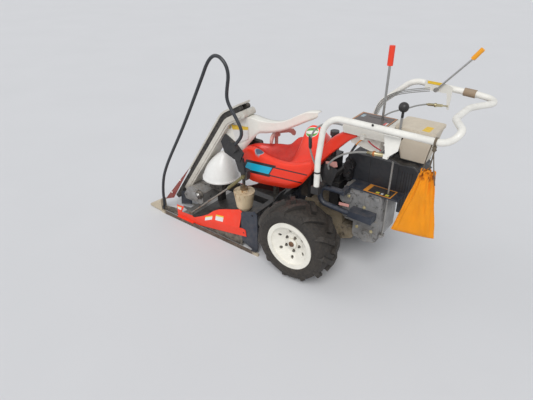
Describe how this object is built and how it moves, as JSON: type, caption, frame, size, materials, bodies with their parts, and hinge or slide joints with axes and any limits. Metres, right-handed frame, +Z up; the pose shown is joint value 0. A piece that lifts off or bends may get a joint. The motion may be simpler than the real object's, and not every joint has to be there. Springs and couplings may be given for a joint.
{
  "type": "walk-behind reaper binder",
  "caption": "Walk-behind reaper binder: leaning lugged crop pickup, cutter bed between skid runners, knotter arm, red hood, engine, lugged tyres and a loop handle.",
  "frame": {"origin": "on the floor, under the middle of the overall length, in the middle plane of the wheels", "axes": "+X forward towards the crop noses, +Y towards the machine's left, +Z up"},
  "size_m": [1.6837, 0.626, 1.072],
  "materials": {
    "white_paint": "white enamel, chipped and dusty",
    "cream_paint": "dusty cream enamel",
    "bin_plastic": "aged cream plastic",
    "panel_plastic": "aged white plastic",
    "cap_plastic": "white moulded plastic",
    "hood_red": "glossy red orange plastic with a striped band",
    "guard_red": "red orange enamel, scuffed",
    "faded_red": "faded red enamel",
    "black_paint": "dusty black enamel",
    "slate_paint": "dark blue grey enamel",
    "cowl_black": "dusty black shell",
    "face_plate": "dark plate with an orange border",
    "steel": "worn bare steel",
    "engine_metal": "dusty cast alloy",
    "gearcase_metal": "khaki painted cast alloy",
    "drive_metal": "cast alloy",
    "cast_black": "black casting",
    "belt_rubber": "black lugged belt",
    "tyre": "dusty brown black rubber",
    "grip_tape": "brown grip sleeve",
    "lever_red": "steel lever with a red grip",
    "lever_yellow": "steel lever with a yellow grip",
    "knob_black": "black knob on a steel rod",
    "hub_rust": "rusty brown steel",
    "bag_cloth": "orange yellow woven cloth",
    "cable_sheath": "grey cable sheath",
    "string": "brown cord"
  },
  "bodies": {
    "machine": {"transmission_case": "gearcase_metal", "body_frame": "black_paint", "main_frame": "black_paint", "handle_mount": "black_paint", "engine_block": "engine_metal", "engine_cowl": "cowl_black", "deck_plate": "slate_paint", "air_cleaner": "knob_black", "recoil_starter": "cowl_black", "muffler": "hub_rust", "engine_cradle": "slate_paint", "belt_cover": "cowl_black", "fuel_tank": "cowl_black", "hood": "hood_red", "hood_neck": "hood_red", "handle_loop": "white_paint", "handle_gusset": "white_paint", "clutch_cable": "cable_sheath", "throttle_cable": "cable_sheath", "grip": "grip_tape", "control_panel": "panel_plastic", "panel_plate": "face_plate", "main_lever": "lever_red", "speed_lever": "lever_yellow", "knob_lever": "knob_black", "shift_rod": "steel", "twine_bin": "bin_plastic", "bin_tray": "black_paint", "bag": "bag_cloth", "bag_string": "string", "pickup_case": "white_paint", "lug_belt": "belt_rubber", "pickup_drive": "drive_metal", "packer_case": "cast_black", "dome_cover": "cap_plastic", "knotter_bonnet": "white_paint", "knotter": "cast_black", "rotor_bearing": "cast_black", "cutter_bar": "steel", "crop_table": "black_paint", "crop_deflector": "guard_red", "guard_rod": "black_paint", "rod_bracket": "black_paint", "stay_rod": "steel", "canister": "cream_paint", "mudguard": "black_paint", "runner_left": "cream_paint", "side_guard_left": "guard_red", "end_plate_left": "slate_paint", "runner_right": "cream_paint", "side_guard_right": "guard_red", "end_plate_right": "slate_paint"},
    "wheel_left": {"tyre_left": "tyre", "rim_left": "white_paint", "hub_left": "hub_rust"},
    "wheel_right": {"tyre_right": "tyre", "rim_right": "white_paint", "hub_right": "hub_rust"},
    "bin_lid": {"twine_bin_lid": "bin_plastic"},
    "discharge_arms": {"discharge_rotor": "faded_red"}
  },
  "joints": [
    {"name": "wheel_left_spin", "type": "hinge", "parent": "machine", "child": "wheel_left", "pos_m": [-0.22415, 0.233, 0.20249], "axis": [0, 1, 0], "continuous": true},
    {"name": "wheel_right_spin", "type": "hinge", "parent": "machine", "child": "wheel_right", "pos_m": [-0.22415, -0.233, 0.20249], "axis": [0, 1, 0], "continuous": true},
    {"name": "bin_lid_hinge", "type": "hinge", "parent": "machine", "child": "bin_lid", "pos_m": [-0.63615, -0.029, 0.7933], "axis": [1, 0, 0], "range_deg": [0, 100]},
    {"name": "discharge_spin", "type": "hinge", "parent": "machine", "child": "discharge_arms", "pos_m": [0.08685, -0.025, 0.58], "axis": [0, 0, 1], "continuous": true}
  ]
}
